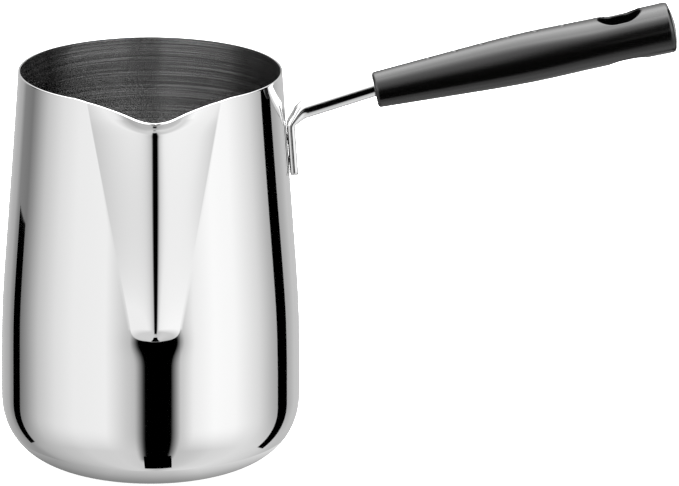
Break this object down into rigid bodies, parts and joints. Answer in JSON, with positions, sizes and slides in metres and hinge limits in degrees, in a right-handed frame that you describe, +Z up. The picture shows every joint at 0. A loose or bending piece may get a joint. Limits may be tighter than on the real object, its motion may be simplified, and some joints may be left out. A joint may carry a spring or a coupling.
{
  "type": "candle melting pot",
  "caption": "Tall steel melting pot with a pressed pouring beak, a rounded base and an upswept tube handle with a black moulded grip.",
  "frame": {"origin": "centre of the pot's flat base, on the surface it stands on", "axes": "+Z up along the pot's axis, +X towards the handle, -Y towards the pouring beak"},
  "size_m": [0.2699, 0.1216, 0.1866],
  "materials": {
    "pot_steel": "stainless steel, mirror-polished outside, brushed in rings inside",
    "tube_steel": "polished stainless steel tube",
    "weld_steel": "dull fused steel of a spot weld",
    "black_plastic": "matte black heat-resistant moulding"
  },
  "bodies": {
    "root": {"pot_body": "pot_steel", "handle_tube": "tube_steel", "spot_weld_lower": "weld_steel", "spot_weld_upper": "weld_steel", "grip": "black_plastic"}
  },
  "joints": []
}
